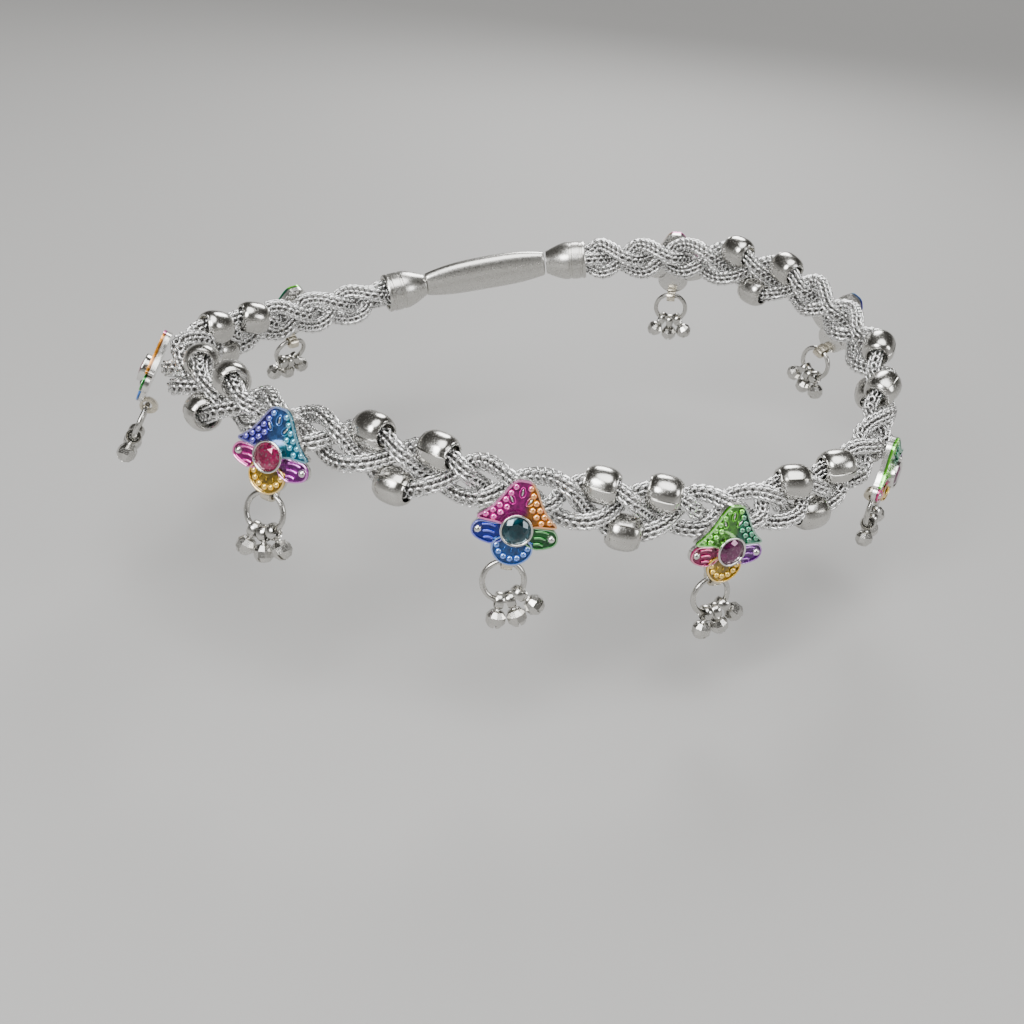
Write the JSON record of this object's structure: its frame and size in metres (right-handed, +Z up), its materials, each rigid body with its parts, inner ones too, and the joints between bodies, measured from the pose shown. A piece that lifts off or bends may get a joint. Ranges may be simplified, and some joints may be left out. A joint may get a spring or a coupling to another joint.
{
  "type": "payal anklet",
  "caption": "Silver anklet of braided foxtail chain with round beads, enamelled flower-bud motifs set with stones, and small bells on rings.",
  "frame": {"origin": "middle of the ankle that the anklet goes round, at the mean height of the band", "axes": "+X to the end of the oval loop that lies on the right in the picture, -Y to its front, +Z up; the clasp is behind, towards +Y"},
  "size_m": [0.111, 0.0712, 0.0338],
  "materials": {
    "chain_silver": "bright white silver foxtail chain",
    "polished_silver": "polished silver",
    "satin_silver": "satin silver",
    "enamel_green": "glossy translucent enamel over cast silver",
    "enamel_magenta": "glossy translucent enamel over cast silver",
    "enamel_blue": "glossy translucent enamel over cast silver",
    "stone_plum": "faceted glass, foil-backed",
    "stone_pink": "faceted glass, foil-backed",
    "stone_teal": "faceted glass, foil-backed"
  },
  "bodies": {
    "root": {"bead_01": "polished_silver", "bead_02": "polished_silver", "bead_03": "polished_silver", "bead_04": "polished_silver", "bead_05": "polished_silver", "bead_06": "polished_silver", "bead_07": "polished_silver", "bead_08": "polished_silver", "bead_09": "polished_silver", "bead_10": "polished_silver", "bead_11": "polished_silver", "bead_12": "polished_silver", "bead_13": "polished_silver", "bead_14": "polished_silver", "bead_15": "polished_silver", "bead_16": "polished_silver", "bead_17": "polished_silver", "bead_18": "polished_silver", "bead_19": "polished_silver", "bead_20": "polished_silver", "bead_21": "polished_silver", "clasp": "satin_silver", "end_cap_1": "satin_silver", "end_cap_2": "satin_silver", "ghungroo_1": "polished_silver", "ghungroo_2": "polished_silver", "ghungroo_3": "polished_silver", "ghungroo_4": "polished_silver", "ghungroo_5": "polished_silver", "ghungroo_6": "polished_silver", "ghungroo_7": "polished_silver", "ghungroo_8": "polished_silver", "jump_ring_1": "polished_silver", "jump_ring_2": "polished_silver", "jump_ring_3": "polished_silver", "jump_ring_4": "polished_silver", "jump_ring_5": "polished_silver", "jump_ring_6": "polished_silver", "jump_ring_7": "polished_silver", "jump_ring_8": "polished_silver", "motif_1": "enamel_green", "motif_2": "enamel_magenta", "motif_3": "enamel_blue", "motif_4": "enamel_magenta", "motif_5": "enamel_green", "motif_6": "enamel_green", "motif_7": "enamel_blue", "motif_8": "enamel_magenta", "stone_1": "stone_plum", "stone_2": "stone_pink", "stone_3": "stone_pink", "stone_4": "stone_teal", "stone_5": "stone_plum", "stone_6": "stone_plum", "stone_7": "stone_pink", "stone_8": "stone_teal", "strand_1": "chain_silver", "strand_2": "chain_silver", "strand_3": "chain_silver"}
  },
  "joints": []
}
